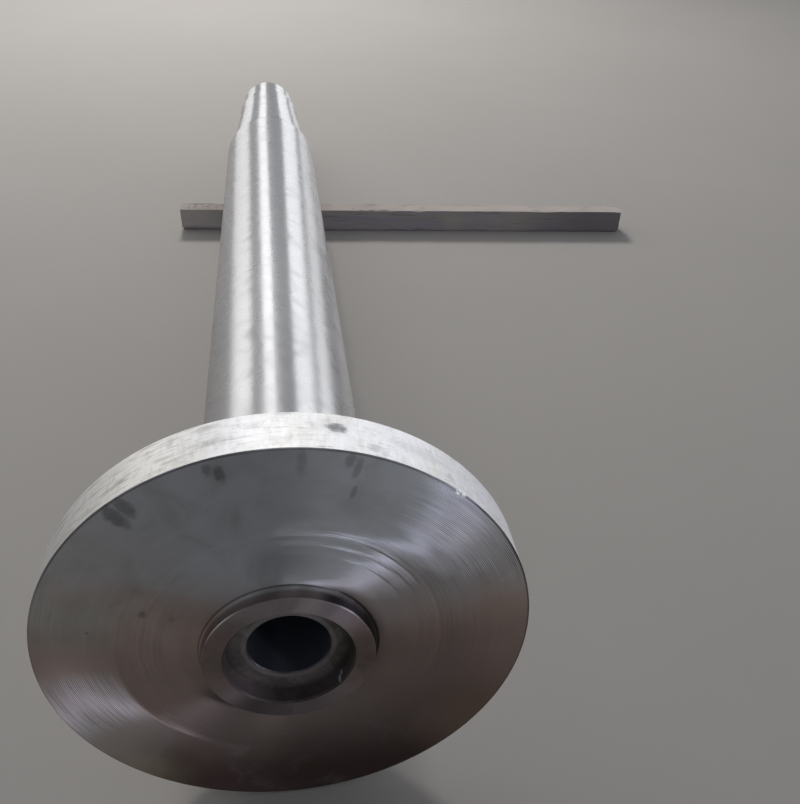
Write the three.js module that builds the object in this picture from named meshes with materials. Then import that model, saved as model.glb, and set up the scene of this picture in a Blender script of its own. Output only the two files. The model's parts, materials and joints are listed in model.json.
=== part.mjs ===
// A forged and turned generator shaft laid down for shipping. It stands on the rim of its
// coupling flange, and a squared timber carries the body just short of the first shoulder.
// Millimetres, +Z up. +Y runs level from the coupling face to the small end.

import * as THREE from 'three';

// Shaft diameters
const FLANGE_DIAMETER = 800;
const SPIGOT_DIAMETER = 280;
const RECESS_DIAMETER = 208;
const COUPLING_BORE_DIAMETER = 134;
const BODY_DIAMETER = 336;
const COLLAR_DIAMETER = 304;
const GROOVE_DIAMETER = 298;
const NECK_DIAMETER = 257;
const JOURNAL_DIAMETER = 230;
const END_BORE_DIAMETER = 64;

// Places along the shaft's axis, measured from the coupling face
const FLANGE_THICKNESS = 90;
const BODY_END = 2520;
const COLLAR_END = 2585;
const TAPER_END = 2995;
const NECK_END = 3125;
const SHAFT_END = 3320;

// Steps, depths and edges
const SPIGOT_HEIGHT = 28;
const RECESS_DEPTH = 30;
const COUPLING_BORE_DEPTH = 240;
const END_BORE_DEPTH = 90;
const GROOVE_WIDTH = 5;
const FLANGE_EDGE = 3;
const SPIGOT_ROUND = 3;
const RECESS_EDGE = 3;
const COUPLING_BORE_EDGE = 2;
const ROOT_ROUND = 15;
const SHOULDER_EDGE = 4;
const SHOULDER_ROUND = 4;
const END_EDGE = 2;
const DRILL_POINT_ANGLE = THREE.MathUtils.degToRad(59);

// The timber under the body
const TIMBER_LENGTH = 1810;
const TIMBER_WIDTH = 65;
const TIMBER_HEIGHT = 90;
const TIMBER_FAR_EDGE = 2469;
const TIMBER_LEFT_OVERHANG = 370;
const TIMBER_SKEW = THREE.MathUtils.degToRad(4.9);
const SEAT_GAP = 0.3;

// Facets round the shaft, with a flat at the bottom and every diameter measured across flats
const FACETS = 72;
const FACET_ANGLE = (2 * Math.PI) / FACETS;
const FLAT_TO_CORNER = 1 / Math.cos(FACET_ANGLE / 2);
const ROUND_STEPS = 4;

const STEEL = { color: 0xb9babc, roughness: 0.32, metalness: 1.0 };
const TIMBER = { color: 0x4a4038, roughness: 0.9, metalness: 0.0 };

// Points of an arc in the plane of place along the axis and radius, both ends included
function arc(centre, radius, startAngle, endAngle) {
  const points = [];
  for (let step = 0; step <= ROUND_STEPS; step += 1) {
    const angle = startAngle + ((endAngle - startAngle) * step) / ROUND_STEPS;
    points.push([centre[0] + radius * Math.cos(angle), centre[1] + radius * Math.sin(angle)]);
  }
  return points;
}

// Depth of the cone that a drill leaves below the full diameter
function drillPoint(diameter) {
  return diameter / 2 / Math.tan(DRILL_POINT_ANGLE);
}

// From the bottom of the coupling bore out to the rim of the recess
function couplingBoreProfile() {
  const radius = COUPLING_BORE_DIAMETER / 2;
  const face = -SPIGOT_HEIGHT;
  const recessFloor = face + RECESS_DEPTH;
  const boreFloor = recessFloor + COUPLING_BORE_DEPTH;
  return [
    [boreFloor + drillPoint(COUPLING_BORE_DIAMETER), 0],
    [boreFloor, radius],
    [recessFloor + COUPLING_BORE_EDGE, radius],
    [recessFloor, radius + COUPLING_BORE_EDGE],
    [recessFloor, RECESS_DIAMETER / 2],
    [face + RECESS_EDGE, RECESS_DIAMETER / 2],
    [face, RECESS_DIAMETER / 2 + RECESS_EDGE],
  ];
}

// The raised spigot, the coupling face and the flange, up to the rounded root
function flangeProfile() {
  const rim = FLANGE_DIAMETER / 2;
  const roundCentre = [SPIGOT_ROUND - SPIGOT_HEIGHT, SPIGOT_DIAMETER / 2 - SPIGOT_ROUND];
  const rootCentre = [FLANGE_THICKNESS + ROOT_ROUND, BODY_DIAMETER / 2 + ROOT_ROUND];
  return [
    ...arc(roundCentre, SPIGOT_ROUND, Math.PI, Math.PI / 2),
    [0, SPIGOT_DIAMETER / 2],
    [0, rim - FLANGE_EDGE],
    [FLANGE_EDGE, rim],
    [FLANGE_THICKNESS - FLANGE_EDGE, rim],
    [FLANGE_THICKNESS, rim - FLANGE_EDGE],
    ...arc(rootCentre, ROOT_ROUND, Math.PI, 1.5 * Math.PI),
  ];
}

// A step down from one radius to a smaller one, with a broken edge and a rounded root
function shoulderProfile(place, largeRadius, smallRadius, edge) {
  const rootCentre = [place + SHOULDER_ROUND, smallRadius + SHOULDER_ROUND];
  return [
    [place - edge, largeRadius],
    [place, largeRadius - edge],
    ...arc(rootCentre, SHOULDER_ROUND, Math.PI, 1.5 * Math.PI),
  ];
}

// The two shoulders with the collar, relief groove, taper and neck between them
function stepsProfile() {
  const collar = COLLAR_DIAMETER / 2;
  const neck = NECK_DIAMETER / 2;
  return [
    ...shoulderProfile(BODY_END, BODY_DIAMETER / 2, collar, SHOULDER_EDGE),
    [COLLAR_END, collar],
    [COLLAR_END, GROOVE_DIAMETER / 2],
    [COLLAR_END + GROOVE_WIDTH, GROOVE_DIAMETER / 2],
    [COLLAR_END + GROOVE_WIDTH, collar],
    [TAPER_END, neck],
    ...shoulderProfile(NECK_END, neck, JOURNAL_DIAMETER / 2, END_EDGE),
  ];
}

// The end of the journal and the blind bore in it
function endProfile() {
  const journal = JOURNAL_DIAMETER / 2;
  const bore = END_BORE_DIAMETER / 2;
  const boreFloor = SHAFT_END - END_BORE_DEPTH;
  return [
    [SHAFT_END - END_EDGE, journal],
    [SHAFT_END, journal - END_EDGE],
    [SHAFT_END, bore + END_EDGE],
    [SHAFT_END - END_EDGE, bore],
    [boreFloor, bore],
    [boreFloor - drillPoint(END_BORE_DIAMETER), 0],
  ];
}

// One turned forging. The lathe's own axis, +Y, is the axis of the shaft.
function makeShaftForging() {
  const profile = [
    ...couplingBoreProfile(),
    ...flangeProfile(),
    ...stepsProfile(),
    ...endProfile(),
  ];
  const points = profile.map(([place, radius]) => new THREE.Vector2(radius * FLAT_TO_CORNER, place));
  const geometry = new THREE.LatheGeometry(points, FACETS, FACET_ANGLE / 2, 2 * Math.PI);
  const mesh = new THREE.Mesh(geometry, new THREE.MeshStandardMaterial(STEEL));
  mesh.name = 'shaft_forging';
  return mesh;
}

// A squared timber lying flat, long in X, with the middle of its underside at its origin
function makeSupportTimber() {
  const geometry = new THREE.BoxGeometry(TIMBER_LENGTH, TIMBER_WIDTH, TIMBER_HEIGHT);
  geometry.translate(0, 0, TIMBER_HEIGHT / 2);
  const mesh = new THREE.Mesh(geometry, new THREE.MeshStandardMaterial(TIMBER));
  mesh.name = 'support_timber';
  return mesh;
}

// The downward tilt of the axis, with the flange's rim on the floor and the body's
// lowest flat on the far top edge of the timber
function restingTilt() {
  const drop = FLANGE_DIAMETER / 2 - BODY_DIAMETER / 2 - SEAT_GAP;
  const span = TIMBER_FAR_EDGE - (FLANGE_THICKNESS - FLANGE_EDGE);
  return Math.acos(TIMBER_HEIGHT / Math.hypot(drop, span)) - Math.atan2(span, drop);
}

// Shaft and timber as they lie, with the coupling face's centre above the layout's origin
function makeLayout() {
  const tilt = restingTilt();
  const shaft = makeShaftForging();
  shaft.rotation.x = -tilt;
  shaft.position.z = (FLANGE_DIAMETER / 2) * Math.cos(tilt)
    + (FLANGE_THICKNESS - FLANGE_EDGE) * Math.sin(tilt);

  const seatY = TIMBER_FAR_EDGE * Math.cos(tilt) - (BODY_DIAMETER / 2) * Math.sin(tilt);
  const along = TIMBER_LENGTH / 2 - TIMBER_LEFT_OVERHANG;
  const across = TIMBER_WIDTH / 2;
  const timber = makeSupportTimber();
  timber.rotation.z = -TIMBER_SKEW;
  timber.position.x = along * Math.cos(TIMBER_SKEW) - across * Math.sin(TIMBER_SKEW);
  timber.position.y = seatY - along * Math.sin(TIMBER_SKEW) - across * Math.cos(TIMBER_SKEW);

  const layout = new THREE.Group();
  layout.add(shaft, timber);
  return layout;
}

// The part's origin is on the floor at the middle of its footprint
function centreOnFootprint(layout) {
  const bounds = new THREE.Box3().setFromObject(layout, true);
  const centre = bounds.getCenter(new THREE.Vector3());
  layout.position.set(-centre.x, -centre.y, 0);
  return layout;
}

const part = new THREE.Group();
part.name = 'generator_shaft';
part.add(centreOnFootprint(makeLayout()));

export default part;
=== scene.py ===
"""Looks of the generator shaft: a turned forging on the rim of its flange, with a timber under it.

Metres, +Z up. The shaft's own parts are given by their place along its axis, from the coupling
face towards the small end, and by their radius.
"""

import itertools
import math
import random

import bmesh
import bpy
import numpy as np
from mathutils import Matrix, Vector, noise
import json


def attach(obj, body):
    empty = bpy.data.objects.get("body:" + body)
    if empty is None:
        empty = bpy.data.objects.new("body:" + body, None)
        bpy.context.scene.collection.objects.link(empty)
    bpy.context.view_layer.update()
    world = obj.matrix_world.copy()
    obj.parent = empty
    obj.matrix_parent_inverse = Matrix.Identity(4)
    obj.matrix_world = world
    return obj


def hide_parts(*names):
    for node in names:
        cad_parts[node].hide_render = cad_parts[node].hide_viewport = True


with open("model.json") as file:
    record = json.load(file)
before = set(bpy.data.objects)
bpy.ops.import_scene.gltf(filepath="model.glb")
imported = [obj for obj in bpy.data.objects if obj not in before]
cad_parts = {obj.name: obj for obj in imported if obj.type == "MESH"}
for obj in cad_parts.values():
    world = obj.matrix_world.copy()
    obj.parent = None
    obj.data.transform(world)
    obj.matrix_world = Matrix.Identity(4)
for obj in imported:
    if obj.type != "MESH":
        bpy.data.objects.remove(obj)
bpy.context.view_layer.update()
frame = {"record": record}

# Camera of the photograph: place, angles and focal length over picture width
CAMERA_PLACE = (-0.49066, -2.52947, 1.56106)
CAMERA_YAW = 0.15759
CAMERA_PITCH = 0.6424
CAMERA_ROLL = -0.03617
FOCAL_TO_WIDTH = 1.06956
SENSOR_WIDTH = 36.0

# Radii of the shaft
FLANGE_RADIUS = 0.4
SPIGOT_RADIUS = 0.14
RECESS_RADIUS = 0.104
COUPLING_BORE_RADIUS = 0.067
BODY_RADIUS = 0.168
COLLAR_RADIUS = 0.152
GROOVE_RADIUS = 0.149
NECK_RADIUS = 0.1285
JOURNAL_RADIUS = 0.115
END_BORE_RADIUS = 0.032

# Places along the axis
FLANGE_THICKNESS = 0.09
BODY_END = 2.52
COLLAR_END = 2.585
TAPER_END = 2.995
NECK_END = 3.125
SHAFT_END = 3.32

# Steps, depths and edges
SPIGOT_HEIGHT = 0.028
RECESS_DEPTH = 0.03
COUPLING_BORE_DEPTH = 0.24
END_BORE_DEPTH = 0.09
GROOVE_WIDTH = 0.005
FLANGE_EDGE = 0.003
SPIGOT_ROUND = 0.003
RECESS_EDGE = 0.003
COUPLING_BORE_EDGE = 0.002
ROOT_ROUND = 0.015
SHOULDER_EDGE = 0.004
SHOULDER_ROUND = 0.004
END_EDGE = 0.002
SMALL_ROUND = 0.0012
DRILL_POINT_ANGLE = math.radians(59)

# Shallow turned steps on the coupling face, from outside in: radius, and how far the face drops inside it
FACE_STEPS = (
    (0.269, 0.0004),
    (0.2625, 0.0003),
    (0.253, 0.00025),
    (0.246, -0.00035),
    (0.2385, -0.00035),
    (0.2285, -0.00025),
)
STEP_WIDTH = 0.0016
SPIGOT_ROOT = 0.0045

# The shape of a step, from outside in: share of its drop, and place across its width
STEP_SHAPE = ((0.0, 0.5), (0.15, 0.25), (0.85, -0.25), (1.0, -0.5))

# How far above the axis the coupling face's mount point lies
MOUNT_OFFSET = 0.27

# The lathe: segments all round, and finer ones about the nick in the flange's front edge
SEGMENTS = 504
NICK_SEGMENTS = 40
NICK_ANGLE = math.radians(42)
NICK_HALF_ANGLE = math.radians(1.35)
NICK_REACH = math.radians(2.4)
NICK_DEPTH = 0.0064
NICK_UNEVEN = 0.35
NICK_WAVES = 260

# The timber
TIMBER_LENGTH = 1.81
TIMBER_WIDTH = 0.065
TIMBER_HEIGHT = 0.09
TIMBER_SKEW = math.radians(4.9)

# Edges where a surface turns by more than this stay sharp
STEEL_SHARP_ANGLE = math.radians(24)
TIMBER_SHARP_ANGLE = math.radians(38)


def mount(name):
    """A mount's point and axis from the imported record."""
    found = next(m for m in frame["record"]["mounts"] if m["name"] == name)
    return Vector(found["pos_m"]), Vector(found["axis"]).normalized()


def shaft_matrix():
    """From the shaft's own axes to the model's: Y along its axis, the coupling face at the origin."""
    point, outward = mount("coupling_face")
    axis = -outward
    side = Vector((1, 0, 0))
    up = side.cross(axis)
    turn = Matrix((side, axis, up)).transposed()
    return Matrix.Translation(point - MOUNT_OFFSET * up) @ turn.to_4x4()


def timber_matrix():
    """The timber's place in the model: the middle of its underside, and its skew."""
    return Matrix.Translation(mount("timber_underside")[0]) @ Matrix.Rotation(-TIMBER_SKEW, 4, "Z")


def add_object(name, data):
    """Puts a new object in the scene."""
    made = bpy.data.objects.new(name, data)
    bpy.context.scene.collection.objects.link(made)
    return made


def new_mesh(name, vertices, faces, unrolled, materials):
    """A mesh with a map of its own. unrolled has the map's place for each corner of each face."""
    mesh = bpy.data.meshes.new(name)
    mesh.from_pydata(vertices, [], faces)
    mesh.uv_layers.new(name="OFBake").uv.foreach_set("vector", np.array(unrolled, np.float32).ravel())
    for material in materials:
        mesh.materials.append(material)
    return mesh


def smooth_with_sharp_edges(mesh, sharp):
    """Smooth faces that keep the edges where the surface turns by more than an angle."""
    work = bmesh.new()
    work.from_mesh(mesh)
    bmesh.ops.recalc_face_normals(work, faces=work.faces)
    for face in work.faces:
        face.smooth = True
    for edge in work.edges:
        if len(edge.link_faces) == 2 and edge.calc_face_angle() > sharp:
            edge.smooth = False
    work.to_mesh(mesh)
    work.free()


def add_camera():
    """The camera at the photograph's place and angle."""
    forward = Vector((
        math.sin(CAMERA_YAW) * math.cos(CAMERA_PITCH),
        math.cos(CAMERA_YAW) * math.cos(CAMERA_PITCH),
        -math.sin(CAMERA_PITCH),
    ))
    level_right = Vector((math.cos(CAMERA_YAW), -math.sin(CAMERA_YAW), 0))
    level_down = forward.cross(level_right)
    right = math.cos(CAMERA_ROLL) * level_right + math.sin(CAMERA_ROLL) * level_down
    turn = Matrix((right, right.cross(forward), -forward)).transposed()
    data = bpy.data.cameras.new("camera")
    data.sensor_fit = "HORIZONTAL"
    data.sensor_width = SENSOR_WIDTH
    data.lens = FOCAL_TO_WIDTH * SENSOR_WIDTH
    camera = add_object("camera", data)
    camera.matrix_world = Matrix.Translation(CAMERA_PLACE) @ turn.to_4x4()
    bpy.context.scene.camera = camera


# Node trees


class Value:
    """What a node gives. Sums, products and soft steps of it are further nodes in the same tree."""

    def __init__(self, tree, socket):
        self.tree = tree
        self.socket = socket

    def apply(self, operation, *others):
        return self.tree.made("ShaderNodeMath", dict(enumerate((self, *others))), operation=operation)

    def __add__(self, other):
        return self.apply("ADD", other)

    def __sub__(self, other):
        return self.apply("SUBTRACT", other)

    def __mul__(self, other):
        return self.apply("MULTIPLY", other)

    def __truediv__(self, other):
        return self.apply("DIVIDE", other)

    def larger(self, other):
        return self.apply("MAXIMUM", other)

    def size(self):
        return self.apply("ABSOLUTE")

    def ramp(self, low, high, to_low=0.0, to_high=1.0):
        """A soft step from to_low at low to to_high at high."""
        inputs = dict(enumerate((self, low, high, to_low, to_high)))
        return self.tree.made("ShaderNodeMapRange", inputs, interpolation_type="SMOOTHSTEP", clamp=True)

    def between(self, start, full, last, end):
        """Rises softly from 0 at start to 1 at full, and falls from 1 at last to 0 at end."""
        return self.ramp(start, full) * self.ramp(end, last)

    def pulse(self, middle, half_width):
        """1 at a middle value, falling softly to 0 at a half width from it."""
        return (self - middle).size().ramp(half_width, 0.0)

    def sector(self, middle, half_width):
        """A pulse over an angle, with its middle and half width in degrees."""
        return self.pulse(math.radians(middle), math.radians(half_width))


class Tree:
    """The nodes of one material or world."""

    def __init__(self, owner):
        self.owner = owner
        owner.use_nodes = True
        self.nodes = owner.node_tree.nodes
        self.links = owner.node_tree.links

    def put(self, value, socket):
        """Gives a socket what a node gives, or a value of its own. A colour is three numbers."""
        if isinstance(value, Value):
            self.links.new(value.socket, socket)
        elif isinstance(value, tuple) and socket.type == "RGBA":
            socket.default_value = (*value, 1.0)
        else:
            socket.default_value = value

    def fill(self, node, inputs):
        """Gives a node its inputs, by the number or name of their socket. None leaves one as it is."""
        for key, value in inputs.items():
            if value is not None:
                self.put(value, node.inputs[key])

    def made(self, kind, inputs=None, output=0, **settings):
        """What a new node gives at one output."""
        node = self.nodes.new(kind)
        for name, setting in settings.items():
            setattr(node, name, setting)
        self.fill(node, inputs or {})
        return Value(self, node.outputs[output])

    def mix(self, factor, a, b, blend="MIX"):
        """A mix of two colours."""
        inputs = {0: factor, 6: a, 7: b}
        return self.made("ShaderNodeMix", inputs, 2, data_type="RGBA", blend_type=blend, clamp_factor=True)

    def paint(self, base, *layers):
        """A colour under layers, each with its share from 0 to 1 and its own colour."""
        for share, tint in layers:
            base = self.mix(share, base, tint)
        return base

    def vector_math(self, operation, a, b=None, scale=None):
        return self.made("ShaderNodeVectorMath", {0: a, 1: b, "Scale": scale}, operation=operation)

    def vector(self, x, y, z):
        return self.made("ShaderNodeCombineXYZ", {0: x, 1: y, 2: z})

    def split(self, vector):
        """The three parts of a vector."""
        node = self.nodes.new("ShaderNodeSeparateXYZ")
        self.put(vector, node.inputs[0])
        return [Value(self, socket) for socket in node.outputs]

    def point(self):
        """A point of the object, in metres."""
        return self.made("ShaderNodeTexCoord", output="Object")

    def noise(self, vector, scale, detail, roughness=0.6, distortion=0.0):
        """Noise from 0 to 1 over a vector."""
        names = ("Vector", "Scale", "Detail", "Roughness", "Distortion")
        values = (vector, scale, detail, roughness, distortion)
        return self.made("ShaderNodeTexNoise", dict(zip(names, values)))

    def streaks(self, place, scales, detail, roughness=0.6, distortion=0.0):
        """Noise with a scale of its own along each of three values."""
        scaled = [value * scale for value, scale in zip(place, scales)]
        return self.noise(self.vector(*scaled), 1.0, detail, roughness, distortion)

    def bump(self, height, distance, before=None):
        """A bump whose height of 1 stands for a distance in metres."""
        return self.made("ShaderNodeBump", {"Distance": distance, "Height": height, "Normal": before})

    def shade(self, base, metallic, roughness, normal=None):
        """Gives the shader its colour, gloss and bumps, and the caller the finished material."""
        inputs = {"Base Color": base, "Metallic": metallic, "Roughness": roughness, "Normal": normal}
        self.fill(self.nodes["Principled BSDF"], inputs)
        return self.owner


def new_tree(name):
    """The nodes of a new material."""
    return Tree(bpy.data.materials.new(name))


def turned_coordinates(tree):
    """Local x and z, place along the axis, radius, and angle from the top, clockwise from the front."""
    matrix = shaft_matrix()
    inputs = {"Vector": tree.point(), "Location": matrix.translation, "Rotation": matrix.to_euler()}
    x, place, z = tree.split(tree.made("ShaderNodeMapping", inputs, vector_type="TEXTURE"))
    return x, z, place, (x * x + z * z).apply("SQRT"), x.apply("ARCTAN2", z)


def turn_grain(tree, anisotropy, sway=None):
    """Gloss that a lathe's fine grooves spread across themselves. sway slants the grooves outwards."""
    matrix = shaft_matrix()
    axis = matrix.to_3x3() @ Vector((0, 1, 0))
    from_axis = tree.vector_math("SUBTRACT", tree.point(), matrix.translation)
    around = tree.vector_math("NORMALIZE", tree.vector_math("CROSS_PRODUCT", axis, from_axis))
    if sway is not None:
        normal = tree.made("ShaderNodeNewGeometry", output="Normal")
        outward = tree.vector_math("CROSS_PRODUCT", normal, around)
        around = tree.vector_math("ADD", around, tree.vector_math("SCALE", outward, scale=sway))
        around = tree.vector_math("NORMALIZE", around)
    shader = tree.nodes["Principled BSDF"]
    tree.put(around, shader.inputs["Tangent"])
    shader.inputs["Anisotropic"].default_value = anisotropy
    shader.inputs["Anisotropic Rotation"].default_value = 0.25


# Steel

# Dark touches on the coupling face: angle in degrees, radius, half width, half length, strength
FACE_MARKS = (
    (-37.3, 0.374, 0.01, 0.022, 0.5),
    (-33.9, 0.379, 0.009, 0.018, 0.46),
    (-14.2, 0.381, 0.006, 0.01, 0.4),
    (-12.2, 0.371, 0.007, 0.013, 0.5),
    (5.5, 0.374, 0.0065, 0.02, 0.24),
    (15.7, 0.384, 0.006, 0.012, 0.34),
    (17.8, 0.373, 0.005, 0.016, 0.34),
    (19.0, 0.331, 0.0035, 0.012, 0.34),
    (-65.0, 0.241, 0.007, 0.005, 0.4),
    (-76.7, 0.314, 0.003, 0.003, 0.3),
    (-64.0, 0.197, 0.006, 0.005, 0.2),
)

# Dark touches on the rim: angle in degrees, place, half width, half length, strength
RIM_MARKS = (
    (12.8, 0.0545, 0.013, 0.0095, 0.72),
    (12.6, 0.054, 0.024, 0.015, 0.08),
    (11.2, 0.068, 0.008, 0.007, 0.14),
    (20.6, 0.02, 0.009, 0.008, 0.26),
    (22.5, 0.015, 0.005, 0.009, 0.16),
    (2.0, 0.086, 0.012, 0.005, 0.25),
    (-14.0, 0.075, 0.016, 0.006, 0.22),
    (-12.0, 0.039, 0.02, 0.008, 0.2),
    (-33.5, 0.037, 0.009, 0.005, 0.26),
    (32.0, 0.05, 0.05, 0.012, 0.1),
)

# Painted highlights on the wall of the recess: angle in degrees, place, half width, half length, strength
PAINTED_GLINTS = (
    (130.0, -0.019, 0.003, 0.006, 0.6),
    (127.0, -0.011, 0.0024, 0.005, 0.45),
)

# Squared distance from a touch's middle, in half widths, where it ends, and how uneven that is
TOUCH_REACH = 2.4
TOUCH_WARP = 4.0

# Fine grooves on the outer part of the coupling face: their spacing, and how far they rise in a radian
COMB_SPACING = 0.0029
COMB_RISE = 0.022

# Bands of the coupling face where polishing strokes slant more and more inwards: outer radius, inner
# radius, and slant in degrees at the inner one. Half the width over which the slant ends there.
SLANTED_BANDS = (
    (0.2725, 0.239, 37.0),
    (0.237, 0.2215, 28.0),
    (0.215, 0.2035, 19.0),
    (0.168, 0.145, 29.0),
)
BAND_HALF_EDGE = 0.0006


def marks(table, angle, radius_at, along, warp):
    """The strongest of a table's soft touches at each point. warp makes their outlines uneven."""
    total = 0.0
    for degrees, middle, half_around, half_along, strength in table:
        across = (angle - math.radians(degrees)) * radius_at / half_around
        lengthwise = (along - middle) / half_along
        away = across * across + lengthwise * lengthwise + warp
        total = (away.ramp(TOUCH_REACH, 0.0) * strength).larger(total)
    return total


def slanted_band(tree, radius, outer, inner, degrees):
    """A slant that grows inwards over a band of radii and ends sharply at its inner side."""
    inputs = dict(enumerate((radius, outer, inner, 0.0, 1.0)))
    across = tree.made("ShaderNodeMapRange", inputs, clamp=True)
    slant = across.apply("POWER", 1.6) * -math.tan(math.radians(degrees))
    return slant * radius.ramp(inner - BAND_HALF_EDGE, inner + BAND_HALF_EDGE)


def face_sway(tree, ring, line, radius, angle):
    """How the grooves slant on the coupling face: from ring to ring, and along the polishing strokes."""
    right = angle.between(-0.15, 0.1, 1.3, 1.6)
    left = angle.between(-2.75, -2.45, -1.45, -1.2)
    uneven = (ring - 0.5) * right.ramp(0.0, 1.0, 0.08, 0.16)
    outer = radius.ramp(0.35, 0.402, 0.0, -0.07)
    inner = radius.ramp(0.205, 0.165, 0.0, -0.07) + line.ramp(0.5, 0.66, 0.03, -0.12)
    inner = inner * radius.between(0.141, 0.147, 0.21, 0.222)
    strays = line.ramp(0.45, 0.75, 0.0, 0.22) * radius.ramp(0.285, 0.315)
    bend = strays + radius.pulse(0.284, 0.018) * 0.09
    sway = uneven + (outer + inner * right) + bend * right

    share = ring.ramp(0.43, 0.58).larger(radius.ramp(0.19, 0.18))
    slants = 0.0
    for band in SLANTED_BANDS:
        slants = slanted_band(tree, radius, *band) + slants
    swirl = radius.ramp(0.269, 0.278, 0.0, 0.34) + radius.ramp(0.278, 0.345, 0.0, 0.13)
    return sway + slants * share * right + swirl * left


def spigot_finish(tree, base, place, radius, angle, patches):
    """The spigot's dull film, its painted shade and the painted highlight on its edge. Gives the colour and
    the edge's share.
    """
    rim = SPIGOT_RADIUS
    front = -SPIGOT_HEIGHT
    on_spigot = radius.ramp(rim + 0.002, rim - 0.001)
    dull = tree.mix(patches.ramp(0.36, 0.66), (0.45, 0.375, 0.365), (0.31, 0.25, 0.245))
    side = radius.between(rim - 0.0012, rim - 0.0004, rim + 0.0015, rim + 0.003)
    fan_shade = angle.sector(43, 26) * radius.ramp(rim - 0.001, rim - 0.003)
    fan_shade = fan_shade * radius.ramp(RECESS_RADIUS - 0.001, RECESS_RADIUS + 0.001)
    root = radius.pulse(rim + 0.0022, 0.005) * place.ramp(-0.0085, -0.0035)
    shaded = angle.between(0.35, 0.75, 1.75, 2.1) * radius.ramp(rim - 0.0008, rim - 0.0003)
    shaded = shaded * radius.ramp(rim + 0.01, rim + 0.0045)
    edge = radius.ramp(rim - 0.0025, rim - 0.0013) * place.ramp(front + 0.0026, front + 0.0016)
    edge = edge * (angle.sector(-48, 26) + angle.sector(45, 15) * 0.35)
    # Painted shade on the side, the lower part, the upper right front and the root; a painted highlight on
    # the edge
    return tree.paint(
        base,
        (on_spigot * 0.8, dull),
        (side * 0.7, (0.15, 0.1, 0.095)),
        (side * angle.between(0.3, 0.55, 1.4, 1.75) * 0.9, (0.03, 0.024, 0.024)),
        (angle.size().ramp(2.2, 2.9) * on_spigot * 0.55, (0.15, 0.125, 0.125)),
        (angle.sector(-146, 44) * on_spigot * 0.9, (0.07, 0.054, 0.053)),
        (fan_shade * on_spigot * 0.65, (0.12, 0.098, 0.098)),
        ((root * 0.88).larger(shaded * 0.92), (0.03, 0.026, 0.028)),
        (edge, (0.86, 0.83, 0.83)),
    ), edge


def chip_share(angle):
    """1 at the nick in the flange's front edge, 0 away from it."""
    return angle.pulse(NICK_ANGLE, 1.3 * NICK_HALF_ANGLE)


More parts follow.
